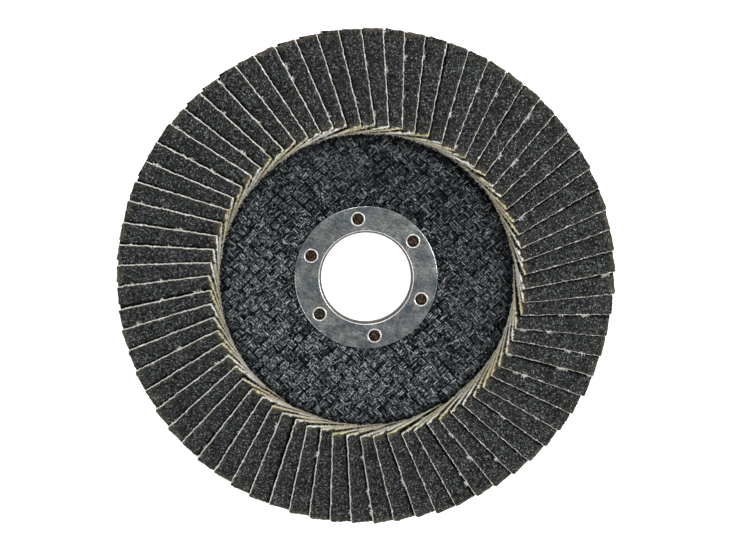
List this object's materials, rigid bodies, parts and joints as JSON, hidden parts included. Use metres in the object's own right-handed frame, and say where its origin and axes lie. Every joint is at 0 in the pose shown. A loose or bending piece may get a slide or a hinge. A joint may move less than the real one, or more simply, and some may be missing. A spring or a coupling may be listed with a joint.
{
  "type": "abrasive flap disc",
  "caption": "Abrasive flap disc for an angle grinder: overlapping cloth flaps bonded to a dished fibreglass plate with a steel arbor ring.",
  "frame": {"origin": "on the spin axis, in the plane of the hub's machine side, which seats against the grinder's inner flange", "axes": "+Z along the spin axis from the machine side to the abrasive side; +X and +Y in the plane of the disc"},
  "size_m": [0.1224, 0.1224, 0.0137],
  "materials": {
    "steel_ring": "plain stamped steel, dulled, a little browned",
    "glass_cloth": "glass-cloth plies in black phenolic resin, half gloss",
    "adhesive": "cured brown epoxy",
    "label_paper": "blank uncoated paper",
    "abrasive_cloth": "dark grey zirconia grit in resin on cream cotton-polyester cloth"
  },
  "bodies": {
    "root": {"arbor_ring": "steel_ring", "back_glass_ply": "glass_cloth", "core_glass_ply": "glass_cloth", "front_glass_ply": "glass_cloth", "adhesive_bed": "adhesive", "back_label": "label_paper", "flap_pair_01": "abrasive_cloth", "flap_pair_02": "abrasive_cloth", "flap_pair_03": "abrasive_cloth", "flap_pair_04": "abrasive_cloth", "flap_pair_05": "abrasive_cloth", "flap_pair_06": "abrasive_cloth", "flap_pair_07": "abrasive_cloth", "flap_pair_08": "abrasive_cloth", "flap_pair_09": "abrasive_cloth", "flap_pair_10": "abrasive_cloth", "flap_pair_11": "abrasive_cloth", "flap_pair_12": "abrasive_cloth", "flap_pair_13": "abrasive_cloth", "flap_pair_14": "abrasive_cloth", "flap_pair_15": "abrasive_cloth", "flap_pair_16": "abrasive_cloth", "flap_pair_17": "abrasive_cloth", "flap_pair_18": "abrasive_cloth", "flap_pair_19": "abrasive_cloth", "flap_pair_20": "abrasive_cloth", "flap_pair_21": "abrasive_cloth", "flap_pair_22": "abrasive_cloth", "flap_pair_23": "abrasive_cloth", "flap_pair_24": "abrasive_cloth", "flap_pair_25": "abrasive_cloth", "flap_pair_26": "abrasive_cloth", "flap_pair_27": "abrasive_cloth", "flap_pair_28": "abrasive_cloth", "flap_pair_29": "abrasive_cloth", "flap_pair_30": "abrasive_cloth", "flap_pair_31": "abrasive_cloth", "flap_pair_32": "abrasive_cloth", "flap_pair_33": "abrasive_cloth", "flap_pair_34": "abrasive_cloth", "flap_pair_35": "abrasive_cloth", "flap_pair_36": "abrasive_cloth"}
  },
  "joints": []
}
